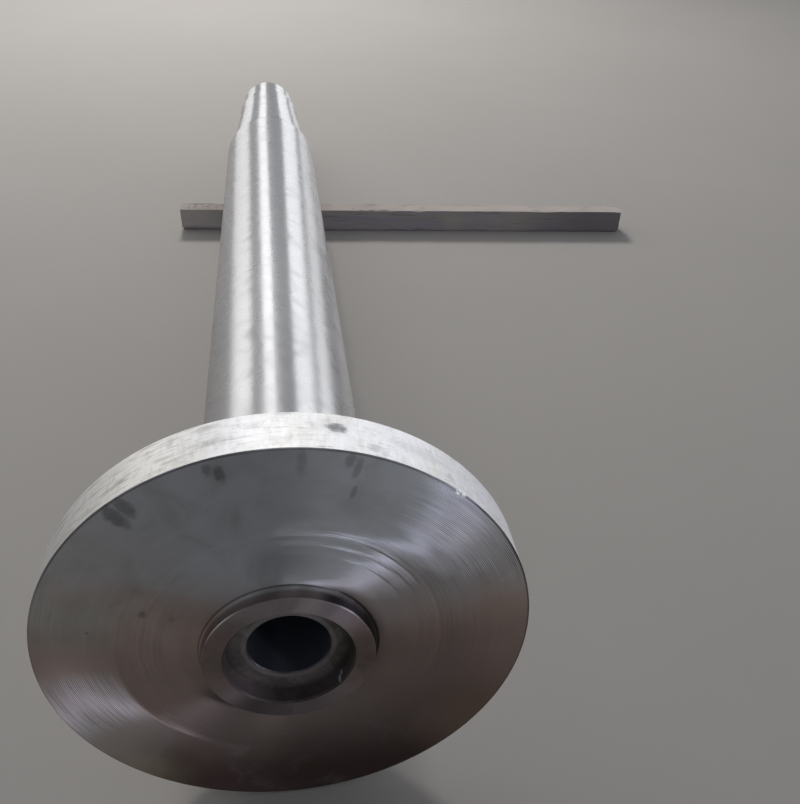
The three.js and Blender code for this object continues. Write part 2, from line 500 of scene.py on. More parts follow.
def face_material():
    """The turned coupling face: grey steel with fine rings, dark touches, a brownish film, and painted shade,
    highlights and reflection.
    """
    tree = new_tree("turned_face")
    x, z, place, radius, angle = turned_coordinates(tree)
    at = tree.vector(x, place, z)
    rings = tree.streaks((radius, x, z), (260.0, 2.2, 2.2), 2.0)
    fine = tree.streaks((radius, x, z), (640.0, 5.0, 5.0), 1.5)
    slanted = radius - angle * COMB_RISE
    teeth = (slanted * (math.tau / COMB_SPACING)).apply("SINE")
    comb = tree.streaks((slanted, x, z), (820.0, 12.0, 12.0), 1.0, 0.5) * 0.6
    comb = comb + teeth.ramp(-1.0, 1.0, 0.0, 0.4)
    turn_grain(tree, 1.0, face_sway(tree, fine, comb, radius, angle))
    film = tree.noise(at, 3.2, 4.0, 0.55, 0.4)
    patches = tree.noise(tree.vector(x, z, place), 11.0, 5.0, 0.6, 0.8)
    flecks = tree.noise(tree.vector((x + z) * 170.0, (x - z) * 700.0, 0.0), 1.0, 2.0)
    touch = marks(FACE_MARKS, angle, radius, radius, (tree.noise(at, 95.0, 4.0) - 0.5) * TOUCH_WARP)

    # Grey at the top and a brownish film from the middle down. The brown deepens at the lower right as
    # painted reflection of the floor in front, and painted shade darkens the face towards the bottom
    height = z + (film - 0.5) * 0.3
    base = tree.mix(patches.ramp(0.35, 0.7), (0.64, 0.645, 0.67), (0.585, 0.59, 0.595))
    base = tree.paint(
        base,
        (height.ramp(0.19, 0.03), (0.55, 0.445, 0.405)),
        (height.ramp(0.1, -0.05) * x.ramp(-0.05, 0.3, 0.0, 0.45), (0.3, 0.22, 0.205)),
        (height.ramp(0.12, -0.02) * x.ramp(-0.03, -0.2, 0.0, 0.4), (0.4, 0.31, 0.285)),
        (z.ramp(-0.03, -0.35, 0.0, 0.96), (0.082, 0.047, 0.042)),
    )

    # Patches of the film: worn, greenish, olive, warm, clear and amber ones. Painted shade in a dull patch at
    # the lower left, which dims the fan there, and in a dim patch at the top
    dull_shade = angle.ramp(-1.98, -2.42) * angle.ramp(-3.05, -2.45) * radius.ramp(0.268, 0.256)
    clear = angle.sector(60, 34) * radius.ramp(0.345, 0.3) * radius.ramp(0.142, 0.16)
    base = tree.paint(
        base,
        (patches.ramp(0.5, 0.75) * 0.25, (0.36, 0.32, 0.32)),
        (angle.sector(-73, 16) * radius.ramp(0.262, 0.292) * 0.5, (0.46, 0.48, 0.43)),
        (angle.sector(-136, 18) * radius.ramp(0.315, 0.375) * 0.5, (0.44, 0.37, 0.26)),
        (dull_shade * 0.86, (0.15, 0.115, 0.1)),
        (angle.sector(-114, 30) * radius.ramp(0.262, 0.285) * 0.35, (0.5, 0.47, 0.44)),
        (clear * 0.7, (0.55, 0.55, 0.575)),
        (angle.sector(127, 22) * radius.ramp(0.27, 0.35) * 0.55, (0.42, 0.3, 0.22)),
        (angle.sector(5, 26) * radius.pulse(0.192, 0.05) * 0.4, (0.27, 0.26, 0.27)),
    )

    # Fine grooves painted light and dark, painted highlights and shade that are strongest in the sectors
    # where the fans fall, and flecks beside the nick
    fan_sectors = angle.between(0.45, 0.72, 1.05, 1.45) + angle.between(-2.15, -1.95, -1.72, -1.58)
    depth = (radius.ramp(0.262, 0.3) * fan_sectors).ramp(0.0, 1.0, 0.03, 0.75)
    scuffed = angle.sector(36.5, 5.5) * radius.ramp(0.37, 0.384)
    base = tree.paint(
        base,
        (comb.ramp(0.52, 0.76) * depth, (0.82, 0.81, 0.83)),
        (comb.ramp(0.46, 0.26) * depth, (0.25, 0.245, 0.26)),
        (flecks.ramp(0.5, 0.64) * scuffed, (0.86, 0.87, 0.88)),
    )

    base, edge = spigot_finish(tree, base, place, radius, angle, patches)
    # Painted shade along the face's front edge and a painted highlight on the nick, then the dark touches
    rim = FLANGE_RADIUS
    edge_shade = radius.ramp(rim - 0.0044, rim - 0.0022) * chip_share(angle).ramp(0.2, 0.0)
    edge_shade_share = angle.ramp(-1.3, -0.9, 0.25, 0.62) + angle.ramp(0.6, 0.85, 0.0, 0.26)
    base = tree.paint(
        base,
        (edge_shade * edge_shade_share, (0.1, 0.1, 0.11)),
        (chip_share(angle).ramp(0.05, 0.3) * radius.ramp(rim - 0.0072, rim - 0.005), (0.96, 0.96, 0.97)),
        (touch, (0.13, 0.125, 0.135)),
    )
    rough = rings.ramp(0.25, 0.75, 0.4, 0.46) + patches * 0.06 + dull_shade * 0.25
    rough = rough + radius.ramp(SPIGOT_RADIUS + 0.002, SPIGOT_RADIUS - 0.001, 0.0, 0.18)
    rough = rough - edge * 0.28 + touch * 0.12
    return tree.shade(base, 1.0, rough, tree.bump(fine, 0.00003, tree.bump(rings, 0.00008)))


def rim_material():
    """The flange's rim: whitish turned steel with streaks round it, dull patches, dark touches and painted
    light.
    """
    tree = new_tree("turned_rim")
    x, z, place, _, angle = turned_coordinates(tree)
    own = (x, place, z)
    at = tree.vector(*own)
    turn_grain(tree, 0.55)
    lines = tree.streaks(own, (3.0, 900.0, 3.0), 2.0)
    dashes = tree.streaks(own, (26.0, 240.0, 26.0), 4.0, 0.65)
    patches = tree.noise(at, 9.0, 5.0, 0.6, 0.6)
    smears = tree.streaks(own, (42.0, 26.0, 42.0), 4.0, 0.6, 0.5)
    mottle = tree.streaks(own, (120.0, 36.0, 120.0), 4.0, 0.65)
    rows = tree.streaks(own, (20.0, 230.0, 20.0), 2.0, 0.5)
    worn = angle.between(-1.2, -0.95, -0.4, -0.15)
    touch = marks(RIM_MARKS, angle, FLANGE_RADIUS, place, (tree.noise(at, 95.0, 4.0) - 0.5) * TOUCH_WARP)
    base = tree.mix(patches.ramp(0.35, 0.7), (0.94, 0.94, 0.955), (0.86, 0.845, 0.82))
    base = tree.paint(
        base,
        # A painted highlight at the upper left
        (angle.sector(-38, 20) * 0.8, (1.0, 0.99, 0.97)),
        (dashes.ramp(0.54, 0.74, 0.0, 0.6), (0.5, 0.49, 0.48)),
        (smears.ramp(0.55, 0.72, 0.0, 0.45), (0.56, 0.55, 0.54)),
        (tree.noise(at, 420.0, 2.0).ramp(0.55, 0.85, 0.0, 0.25), (0.58, 0.58, 0.58)),
        (mottle.ramp(0.5, 0.66, 0.0, 0.6), (0.98, 0.98, 0.985)),
        (mottle.ramp(0.46, 0.34, 0.0, 0.25), (0.6, 0.595, 0.585)),
        (rows.ramp(0.54, 0.66, 0.0, 0.5) * worn, (0.46, 0.455, 0.44)),
    )
    # Warmer towards the left as painted warm light; then a painted highlight on the nick, and dark touches
    base = tree.mix(angle.ramp(-0.15, -0.5, 0.0, 0.6), base, (0.99, 0.96, 0.91), "MULTIPLY")
    base = tree.paint(
        base,
        (chip_share(angle).ramp(0.05, 0.3) * place.ramp(0.0095, 0.007), (0.98, 0.98, 0.99)),
        (touch, (0.16, 0.16, 0.185)),
    )
    rough = dashes.ramp(0.3, 0.75, 0.56, 0.7) + touch * 0.1
    return tree.shade(base, 1.0, rough, tree.bump(dashes, 0.0001, tree.bump(lines, 0.00005)))


def body_material():
    """The body, collar, taper and journal: bright turned steel with faint wipes, scratches and painted light
    on its right.
    """
    tree = new_tree("turned_body")
    x, z, place, _, angle = turned_coordinates(tree)
    own = (x, place, z)
    turn_grain(tree, 0.9)
    lines = tree.streaks(own, (2.0, 700.0, 2.0), 2.0)
    bands = tree.streaks(own, (1.5, 16.0, 1.5), 3.0)
    wipes = tree.noise(tree.vector(x + place * 0.35, place, z), 9.0, 5.0, 0.62, 1.4)
    waves = tree.noise(tree.vector(x, place * 0.7, z), 16.0, 3.0, 0.55, 0.4)
    dashes = tree.streaks(own, (45.0, 260.0, 45.0), 3.0)
    near_flange = place.ramp(0.62, 0.3)
    base = tree.paint(
        (0.68, 0.68, 0.69),
        (wipes.ramp(0.48, 0.72, 0.0, 0.5), (0.53, 0.525, 0.52)),
        (bands.ramp(0.45, 0.75, 0.0, 0.25), (0.6, 0.6, 0.61)),
        (dashes.ramp(0.54, 0.7) * near_flange.ramp(0.0, 1.0, 0.07, 0.42), (0.38, 0.375, 0.37)),
        (angle.sector(1, 32) * place.ramp(1.05, 0.45) * 0.58, (0.4, 0.4, 0.405)),
        # Painted light along the right flank
        (angle.between(0.85, 1.15, 1.8, 2.2), (0.93, 0.93, 0.94)),
    )
    rough = wipes.ramp(0.4, 0.75, 0.25, 0.35) + bands * 0.04
    normal = tree.bump(waves, 0.00042, tree.bump(lines, 0.00002))
    return tree.shade(base, 1.0, rough, tree.bump(dashes * near_flange, 0.00008, normal))


def recess_material():
    """The recess and the spigot's corner: dull oily steel with rust spots, painted shade and painted glints.
    """
    tree = new_tree("oily_recess")
    x, z, place, radius, angle = turned_coordinates(tree)
    turn_grain(tree, 0.5)
    film = tree.noise(tree.vector(x, place, z), 16.0, 4.0, 0.6, 0.6)
    spots = tree.noise(tree.vector(x, place * 0.8, z), 55.0, 4.0, 0.65, 0.5)
    rust = spots.ramp(0.54, 0.68) * (z.ramp(0.02, -0.09) * 0.8 + 0.1)
    wall = z.ramp(0.03, -0.05, 0.3, 1.0) * radius.ramp(0.088, 0.1035)
    recess_shade = radius.ramp(RECESS_RADIUS - 0.0016, RECESS_RADIUS - 0.0002).larger(wall)
    painted_glint = marks(PAINTED_GLINTS, angle, RECESS_RADIUS, place, (spots - 0.5) * 2.5) * radius.ramp(0.102, 0.1036)
    # A lighter land round the bore, painted shade at the bore's edge, on the recess's rim and lower wall
    base = tree.paint(
        tree.mix(film.ramp(0.38, 0.64), (0.31, 0.285, 0.285), (0.14, 0.12, 0.115)),
        (radius.between(0.069, 0.07, 0.0765, 0.0785) * 0.5, (0.4, 0.38, 0.385)),
        (radius.ramp(0.0697, 0.0688, 0.0, 0.75), (0.07, 0.066, 0.07)),
        (rust, (0.13, 0.055, 0.025)),
        (recess_shade * 0.78, (0.085, 0.068, 0.064)),
        (painted_glint, (0.78, 0.79, 0.81)),
    )
    rough = film.ramp(0.3, 0.7, 0.4, 0.58) + (rust * 0.25).larger(recess_shade * 0.25)
    return tree.shade(base, rust.larger(painted_glint).ramp(0.0, 1.0, 1.0, 0.3), rough, tree.bump(spots, 0.0002))


def bore_material():
    """The bores: steel painted dark and bluish as shade, with a film of oil."""
    tree = new_tree("dark_bore")
    x, z, place = turned_coordinates(tree)[:3]
    film = tree.noise(tree.vector(x, place, z), 20.0, 4.0, 0.6, 0.5)
    lines = tree.streaks((x, place, z), (3.0, 600.0, 3.0), 2.0)
    base = tree.mix(film, (0.11, 0.12, 0.155), (0.075, 0.08, 0.1))
    # Painted shade on the bore's left wall
    base = tree.mix(x.ramp(-0.005, -0.05, 0.0, 0.8), base, (0.022, 0.025, 0.036))
    return tree.shade(base, 0.5, film.ramp(0.3, 0.7, 0.5, 0.66), tree.bump(lines, 0.00005))


# The shaft's finishes, and the room on its unrolled map for a metre of each
FINISHES = ("bore", "recess", "face", "rim", "body")
MAP_SHARES = (0.2, 2.0, 3.0, 3.2, 0.7)

# Points of the profile that are nearer than this are one point
SAME_POINT = 1e-7


def arc(centre, radius, start, end, steps=6):
    """Points of an arc in the plane of place and radius, both ends included. Angles in half turns."""
    angles = [(start + (end - start) * step / steps) * math.pi for step in range(steps + 1)]
    return [(centre[0] + radius * math.cos(angle), centre[1] + radius * math.sin(angle)) for angle in angles]


def straight(start, end, steps):
    """Points from start to end in even steps, both ends included."""
    run = (end[0] - start[0], end[1] - start[1])
    shares = [step / steps for step in range(steps + 1)]
    return [(start[0] + run[0] * share, start[1] + run[1] * share) for share in shares]


def coupling_bore_sections():
    """From the bottom of the coupling bore out to the spigot's face."""
    face = -SPIGOT_HEIGHT
    floor = face + RECESS_DEPTH
    bottom = floor + COUPLING_BORE_DEPTH
    point = bottom + COUPLING_BORE_RADIUS / math.tan(DRILL_POINT_ANGLE)
    edge = floor + COUPLING_BORE_EDGE
    corner = (floor - SMALL_ROUND, RECESS_RADIUS - SMALL_ROUND)
    return [
        ("bore", [(point, 0), *straight((bottom, COUPLING_BORE_RADIUS), (edge, COUPLING_BORE_RADIUS), 4)]),
        ("recess", [
            *straight((edge, COUPLING_BORE_RADIUS), (floor, COUPLING_BORE_RADIUS + COUPLING_BORE_EDGE), 2),
            *arc(corner, SMALL_ROUND, 0, 0.5, 4),
            *straight((face + RECESS_EDGE, RECESS_RADIUS), (face, RECESS_RADIUS + RECESS_EDGE), 2),
        ]),
    ]


def face_sections():
    """The spigot's face, edge and root, then the coupling face with its shallow steps."""
    edge_centre = (SPIGOT_ROUND - SPIGOT_HEIGHT, SPIGOT_RADIUS - SPIGOT_ROUND)
    root_centre = (-SPIGOT_ROOT, SPIGOT_RADIUS + SPIGOT_ROOT)
    outside = [(0, FLANGE_RADIUS - steps * FLANGE_EDGE) for steps in (2, 4, 5, 6, 12)]
    depth = 0
    for radius, drop in FACE_STEPS:
        outside += [(depth + share * drop, radius + across * STEP_WIDTH) for share, across in STEP_SHAPE]
        depth += drop
    return [
        ("face", [
            (-SPIGOT_HEIGHT, RECESS_RADIUS + RECESS_EDGE),
            *arc(edge_centre, SPIGOT_ROUND, 1, 0.5),
            *reversed(arc(root_centre, SPIGOT_ROOT, 1.5, 2)),
            *reversed(outside),
        ]),
    ]


def rim_sections():
    """The broken front edge, the rim, the back of the flange and the root."""
    inner_radius = FLANGE_RADIUS - FLANGE_EDGE
    front_centre = (FLANGE_EDGE, inner_radius)
    back_centre = (FLANGE_THICKNESS - FLANGE_EDGE, inner_radius)
    root_centre = (FLANGE_THICKNESS + ROOT_ROUND, BODY_RADIUS + ROOT_ROUND)
    rim_start = (2 * FLANGE_EDGE, FLANGE_RADIUS)
    rim_end = (FLANGE_THICKNESS - 2 * FLANGE_EDGE, FLANGE_RADIUS)
    back_start = (FLANGE_THICKNESS, FLANGE_RADIUS - 2 * FLANGE_EDGE)
    back_end = (FLANGE_THICKNESS, BODY_RADIUS + 1.2 * ROOT_ROUND)
    return [
        ("face", [(0, FLANGE_RADIUS - 2 * FLANGE_EDGE), *arc(front_centre, FLANGE_EDGE, 1, 0.62)]),
        ("rim", [
            *arc(front_centre, FLANGE_EDGE, 0.62, 0.5, 2),
            *straight(rim_start, rim_end, 12),
            *arc(back_centre, FLANGE_EDGE, 0.5, 0),
        ]),
        ("body", [*straight(back_start, back_end, 4), *arc(root_centre, ROOT_ROUND, 1, 1.5, 8)]),
    ]


def shoulder(place, large, small, edge):
    """A step down from a larger to a smaller radius, with a broken edge and a rounded root."""
    root_centre = (place + SHOULDER_ROUND, small + SHOULDER_ROUND)
    return [*arc((place - edge, large - edge), edge, 0.5, 0, 5), *arc(root_centre, SHOULDER_ROUND, 1, 1.5, 5)]


def step_sections():
    """The body's end, the collar and its groove, the taper, the neck and the journal."""
    groove_end = COLLAR_END + GROOVE_WIDTH
    return [
        ("body", [
            *shoulder(BODY_END, BODY_RADIUS, COLLAR_RADIUS, SHOULDER_EDGE),
            (COLLAR_END - END_EDGE / 2, COLLAR_RADIUS),
            (COLLAR_END, COLLAR_RADIUS - END_EDGE / 4),
            (COLLAR_END + END_EDGE / 4, GROOVE_RADIUS),
            (groove_end - END_EDGE / 4, GROOVE_RADIUS),
            (groove_end, COLLAR_RADIUS - END_EDGE / 4),
            (groove_end + END_EDGE / 2, COLLAR_RADIUS),
            *straight((groove_end + 2 * END_EDGE, COLLAR_RADIUS), (TAPER_END, NECK_RADIUS), 6),
            *shoulder(NECK_END, NECK_RADIUS, JOURNAL_RADIUS, END_EDGE),
        ]),
    ]


def end_sections():
    """The journal's end and the bore in it."""
    bottom = SHAFT_END - END_BORE_DEPTH
    point = bottom - END_BORE_RADIUS / math.tan(DRILL_POINT_ANGLE)
    return [
        ("body", [
            *arc((SHAFT_END - END_EDGE, JOURNAL_RADIUS - END_EDGE), END_EDGE, 0.5, 0),
            *straight((SHAFT_END, JOURNAL_RADIUS - 2 * END_EDGE), (SHAFT_END, END_BORE_RADIUS + END_EDGE), 4),
            (SHAFT_END - END_EDGE, END_BORE_RADIUS),
        ]),
        ("bore", [(SHAFT_END - 2 * END_EDGE, END_BORE_RADIUS), (bottom, END_BORE_RADIUS), (point, 0)]),
    ]


def shaft_profile():
    """Points from one end of the axis to the other, and the finish of each band between them."""
    points = []
    finishes = []
    sections = (coupling_bore_sections(), face_sections(), rim_sections(), step_sections(), end_sections())
    for finish, part in itertools.chain(*sections):
        for point in part:
            if points and math.dist(points[-1], point) < SAME_POINT:
                continue
            if points:
                finishes.append(FINISHES.index(finish))
            points.append(point)
    return points, finishes


def lathe_angles():
    """Even angles all round, with more about the nick in the rim's front edge."""
    even = np.linspace(-math.pi, math.pi, SEGMENTS, endpoint=False)
    outside = even[np.abs(even - NICK_ANGLE) > NICK_REACH]
    near = np.linspace(NICK_ANGLE - NICK_REACH, NICK_ANGLE + NICK_REACH, NICK_SEGMENTS + 1)
    return np.sort(np.concatenate([outside, near]))


def nick(place, radius, angle):
    """Moves a point in where the rim's front edge is chipped, and leaves any other where it is."""
    along = (angle - NICK_ANGLE) / NICK_HALF_ANGLE
    depth = max(0.0, 1 - along * along)
    uneven = 1.0 + NICK_UNEVEN * noise.noise(Vector((angle * NICK_WAVES, 0, 0)))
    cut = NICK_DEPTH * math.sqrt(depth) * uneven
    move = max(0.0, (cut - place - (FLANGE_RADIUS - radius)) / 2)
    return place + move, radius - move


def unrolled_heights(points, finishes):
    """Each profile point's height on the unrolled map, from 0 to 1, with more room for fine finishes."""
    heights = [0.0]
    for (start, end), finish in zip(zip(points, points[1:]), finishes):
        heights.append(heights[-1] + math.dist(start, end) * MAP_SHARES[finish])
    return [height / heights[-1] for height in heights]


def lathe_vertices(points, angles):
    """A ring of vertices for each profile point, and one vertex at each end of the axis."""
    vertices = [(0, points[0][0], 0)]
    for at in points[1:-1]:
        for angle in angles:
            place, radius = nick(*at, angle)
            vertices.append((radius * math.sin(angle), place, radius * math.cos(angle)))
    return [*vertices, (0, points[-1][0], 0)]


def lathe_faces(angles, heights):
    """The faces from ring to ring, and where their corners lie on the unrolled shaft's map."""
    count = len(angles)
    last = 1 + (len(heights) - 2) * count
    turns = [(angle - angles[0]) / math.tau for angle in (*angles, angles[0] + math.tau)]
    faces = []
    unrolled = []
    for band in range(len(heights) - 1):
        near = 1 + (band - 1) * count
        far = near + count
        low, high = heights[band], heights[band + 1]
        for i in range(count):
            j = (i + 1) % count
            left, right = turns[i], turns[i + 1]
            corners = {}
            for vertex, at in ((near + i, (left, low)), (far + i, (left, high)),
                               (far + j, (right, high)), (near + j, (right, low))):
                # All of a ring at an end of the axis is one vertex, so a face has it once
                corners.setdefault(min(last, max(0, vertex)), at)
            faces.append(tuple(corners))
            unrolled += corners.values()
    return faces, unrolled


def make_shaft(materials):
    """The whole forging as one closed mesh round its local Y axis."""
    points, finishes = shaft_profile()
    angles = lathe_angles()
    faces, unrolled = lathe_faces(angles, unrolled_heights(points, finishes))
    mesh = new_mesh("shaft_forging_turned", lathe_vertices(points, angles), faces, unrolled, materials)
    mesh.polygons.foreach_set("material_index", np.repeat(finishes, len(angles)).tolist())
    smooth_with_sharp_edges(mesh, STEEL_SHARP_ANGLE)
    mesh.transform(shaft_matrix())
    shaft = add_object("shaft_forging_turned", mesh)
    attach(shaft, "root")
    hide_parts("shaft_forging")


# Timber

# Lattice steps across the timber, finer near its edges
EDGE_STEPS = (0.0, 0.0012, 0.0026, 0.0042, 0.0062, 0.009)
TIMBER_SPACING = 0.0055

# Where the shaft rests, along the timber, and how far the timber keeps its shape round it
SEAT_PLACE = -0.517
SEAT_REACH = 0.17

# Coarse and fine wear: waves in a metre along and across the timber, roughness and octaves
COARSE_WEAR = (9, 30, 0.6, 4)
FINE_WEAR = (40, 160, 0.7, 3)

# Rounding of the long edges: radius, what roughness and chips add to it, and where chips begin
EDGE_ROUND = 0.0022
EDGE_ROUGHNESS = 0.0016
EDGE_CHIPS = 0.012
CHIP_LEVEL = 0.12

# The waney lower front edge: height, what the left end and roughness add to it, and its slope
WANE_HEIGHT = 0.009
WANE_LEFT = 0.013
WANE_LEFT_PLACES = (0.45, 0.9)
WANE_ROUGHNESS = 0.003
WANE_SLOPE = 0.6

# Splits along the front top edge: start, end, distance from the front, depth
SPLITS = (
    (-0.195, -0.03, 0.0075, 0.009),
    (0.03, 0.085, 0.006, 0.005),
    (0.52, 0.64, 0.011, 0.005),
)
SPLIT_HALF_WIDTH = 0.0021
SPLIT_DRIFT = 0.004
SPLIT_BOTTOM = 0.012
SPLIT_BACK = 0.03
SPLINTER_DROP = 0.0022

# Depth of the wear on the timber's faces: the least, and shares of the coarse and the fine wear.
# Points within the skin are on a face, and a strip beside some of its edges stays as it is.
TOP_WEAR = (0.0009, 0.0011, 0.0004)
SIDE_WEAR = (0.001, 0.001, 0.0005)
END_WEAR = (0.0012, 0.0, 0.0012)
SKIN = 0.001
EDGE_STRIP = 0.004

# Torn lower corners at the left and right end: height, how uneven it is, slope, and depth of the cut
LEFT_TEAR = (0.015, 0.5, 0.6, 0.55)
RIGHT_TEAR = (0.016, 0.4, 1.0, 0.5)

# Crumbs: how many lie on each stretch of the timber's top, and its start, length and share of size
CRUMBS_EACH = 75
CRUMB_STRETCHES = ((-0.89, 0.2, 1.25), (-0.3, 1.18, 1.0))
CRUMB_SIZE = 0.0012
CRUMB_SIZE_RANGE = 0.0042
CRUMB_SINK = 0.0018
CRUMB_TOP_GAP = 0.0001

# A crumb's height and length as shares of its size: the least, and how much chance adds
CRUMB_FLATNESS = (0.45, 0.25)
CRUMB_STRETCH = (0.7, 0.8)

# The timber's map: two strips of its long sides, one over the other, and its ends in a row above
STRIP_RISE = 0.47
STRIP_HEIGHT = 0.46
ENDS_PLACE = 0.95
ENDS_STEP = 0.1
ENDS_SIZE = 0.05


def lattice(length):
    """Steps from 0 to a length, fine at both ends."""
    inner = length - 2 * EDGE_STEPS[-1]
    count = max(1, round(inner / TIMBER_SPACING))
    middle = [EDGE_STEPS[-1] + inner * step / count for step in range(1, count)]
    return [*EDGE_STEPS, *middle, *[length - step for step in reversed(EDGE_STEPS)]]


def step_between(value, low, high):
    """0 at low, 1 at high, smooth between."""
    share = min(1.0, max(0.0, (value - low) / (high - low)))
    return share * share * (3 - 2 * share)


def wear(x, y, z, along, across, roughness, octaves):
    """Noise over the timber, about 0."""
    return noise.fractal(Vector((x * along, y * across, z * across)), roughness, 2.0, octaves)


def split_depth(x, from_front):
    """How far the top has sunk at the splits and on the splinters in front of them."""
    sunk = 0.0
    for start, end, distance, depth in SPLITS:
        if start < x < end and from_front < SPLIT_BACK:
            share = (x - start) / (end - start)
            drift = distance + SPLIT_DRIFT * math.sin(3.1 * share + start * 9)
            opening = math.sin(math.pi * share) ** 0.6
            gap = max(0.0, 1 - abs(from_front - drift) / (SPLIT_HALF_WIDTH * (0.6 + opening)))
            sunk += depth * opening * gap
            if from_front < drift - SPLIT_HALF_WIDTH:
                sunk += SPLINTER_DROP * opening
    return sunk


def torn(fine, z, from_end, height, uneven, slope, cut):
    """How far a torn corner is cut back from the timber's end."""
    return cut * max(0.0, height * (1 + uneven * fine) - z - slope * from_end)


def worn_point(x, y, z):
    """A point of the squared timber after wear. x runs along it, y from front to back, z up."""
    half_length = TIMBER_LENGTH / 2
    half_width = TIMBER_WIDTH / 2
    free = step_between(abs(x - SEAT_PLACE), 0.5 * SEAT_REACH, SEAT_REACH)
    coarse = wear(x, y, z, *COARSE_WEAR)
    fine = wear(x, y, z, *FINE_WEAR)

    def depth(least, coarse_share, fine_share):
        return least + coarse_share * coarse + fine_share * fine

    # Rounded and chipped long edges
    chip = max(0.0, noise.noise(Vector((x * 14, y * 20 + 3, z * 20))) - CHIP_LEVEL)
    radius = EDGE_ROUND + EDGE_ROUGHNESS * abs(coarse) + EDGE_CHIPS * chip * free
    from_front = y + half_width
    from_back = half_width - y
    from_top = TIMBER_HEIGHT - z
    near_side = min(from_front, from_back)
    if near_side < radius and from_top < radius and (free > 0 or from_front < radius):
        reach = math.hypot(radius - near_side, radius - from_top)
        if reach > radius:
            pull = radius / reach
            side = radius - (radius - near_side) * pull
            z = TIMBER_HEIGHT - (radius - (radius - from_top) * pull)
            y = side - half_width if from_front < from_back else half_width - side

    # Waney lower front edge
    wane = WANE_HEIGHT + WANE_LEFT * step_between(-x, *WANE_LEFT_PLACES) + WANE_ROUGHNESS * coarse
    if z < wane and from_front < half_width:
        share = 1 - z / wane
        y += WANE_SLOPE * wane * share * share * (1 - from_front / half_width)

    # Splits, saw marks and weathering, inward only
    if from_top < SPLIT_BOTTOM:
        z -= split_depth(x, from_front)
    if from_top < SKIN and near_side > EDGE_STRIP:
        z -= depth(*TOP_WEAR) * free
    if from_front < SKIN and z > EDGE_STRIP:
        y += depth(*SIDE_WEAR)
    if from_back < SKIN:
        y -= depth(*SIDE_WEAR) * free

    # Torn and bevelled lower corners, and rough ends
    from_left = x + half_length
    from_right = half_length - x
    x += torn(fine, z, from_left, *LEFT_TEAR) - torn(fine, z, from_right, *RIGHT_TEAR)
    if from_left < SKIN:
        x += depth(*END_WEAR)
    if from_right < SKIN:
        x -= depth(*END_WEAR)
    x = min(half_length, max(-half_length, x))
    y = min(half_width, max(-half_width, y))
    return x, y, min(TIMBER_HEIGHT, max(0.0, z))


def timber_map(steps, key, axis, strip):
    """A lattice point's place on the timber's map."""
    x, y, z = (step[number] for step, number in zip(steps, key))
    if axis == 0:
        along = ENDS_SIZE * y / TIMBER_WIDTH + (ENDS_STEP if key[0] else 0.0)
        return along, ENDS_PLACE + ENDS_SIZE * z / TIMBER_HEIGHT
    girth = 2 * (TIMBER_HEIGHT + TIMBER_WIDTH)
    middle = steps[0][(len(steps[0]) - 1) // 2]
    along = (x - middle) / (TIMBER_LENGTH - middle) if strip else x / middle
    if axis == 1:
        around = 2 * TIMBER_HEIGHT + TIMBER_WIDTH - z if key[1] else z
    else:
        around = TIMBER_HEIGHT + y if key[2] else girth - y
    return along, STRIP_RISE * strip + STRIP_HEIGHT * around / girth


def make_timber(material):
    """The squared timber, worn along its edges and split near its front."""
    steps = (lattice(TIMBER_LENGTH), lattice(TIMBER_WIDTH), lattice(TIMBER_HEIGHT))
    last = [len(step) - 1 for step in steps]
    index = {}
    vertices = []
    faces = []
    unrolled = []
    for axis in range(3):
        u, v = [a for a in range(3) if a != axis]
        for end, a, b in itertools.product((0, last[axis]), range(last[u]), range(last[v])):
            corners = []
            strip = int(axis != 0 and a >= last[0] // 2)
            for da, db in ((0, 0), (1, 0), (1, 1), (0, 1)):
                key = [end, end, end]
                key[u] = a + da
                key[v] = b + db
                i, j, k = key
                if (i, j, k) not in index:
                    index[i, j, k] = len(vertices)
                    x = steps[0][i] - TIMBER_LENGTH / 2
                    y = steps[1][j] - TIMBER_WIDTH / 2
                    vertices.append(worn_point(x, y, steps[2][k]))
                corners.append(index[i, j, k])
                unrolled.append(timber_map(steps, key, axis, strip))
            faces.append(corners)
    mesh = new_mesh("support_timber_worn", vertices, faces, unrolled, [material])
    smooth_with_sharp_edges(mesh, TIMBER_SHARP_ANGLE)
    timber = add_object("support_timber_worn", mesh)
    timber.matrix_world = timber_matrix()
    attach(timber, "root")
    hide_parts("support_timber")


def make_crumbs(material):
    """Lumps of dry dirt on the timber's top, mostly near its left end."""
    chance = random.Random(11)
    work = bmesh.new()
    for number in range(len(CRUMB_STRETCHES) * CRUMBS_EACH):
        start, length, larger = CRUMB_STRETCHES[number // CRUMBS_EACH]
        x = start + length * chance.random()
        y = (chance.random() - 0.45) * 0.75 * TIMBER_WIDTH
        size = (CRUMB_SIZE + CRUMB_SIZE_RANGE * chance.random() ** 2.2) * larger
        flat = CRUMB_FLATNESS[0] + CRUMB_FLATNESS[1] * chance.random()
        turn = Matrix.Rotation(chance.random() * math.tau, 3, "Z")
        stretch = CRUMB_STRETCH[0] + CRUMB_STRETCH[1] * chance.random()
        for vertex in bmesh.ops.create_icosphere(work, subdivisions=2, radius=size)["verts"]:
            vertex.co *= 1 + 0.35 * noise.noise(vertex.co * (1.6 / size) + Vector((number, 0, 0)))
            vertex.co.x *= stretch
            vertex.co.z *= flat
            vertex.co = turn @ vertex.co
            vertex.co += Vector((x, y, TIMBER_HEIGHT - CRUMB_SINK))
            vertex.co.z = min(vertex.co.z, TIMBER_HEIGHT - CRUMB_TOP_GAP)
    for face in work.faces:
        face.smooth = True
    mesh = bpy.data.meshes.new("timber_crumbs")
    work.to_mesh(mesh)
    work.free()
    mesh.materials.append(material)
    crumbs = add_object("timber_crumbs", mesh)
    crumbs.matrix_world = timber_matrix()
    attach(crumbs, "root")


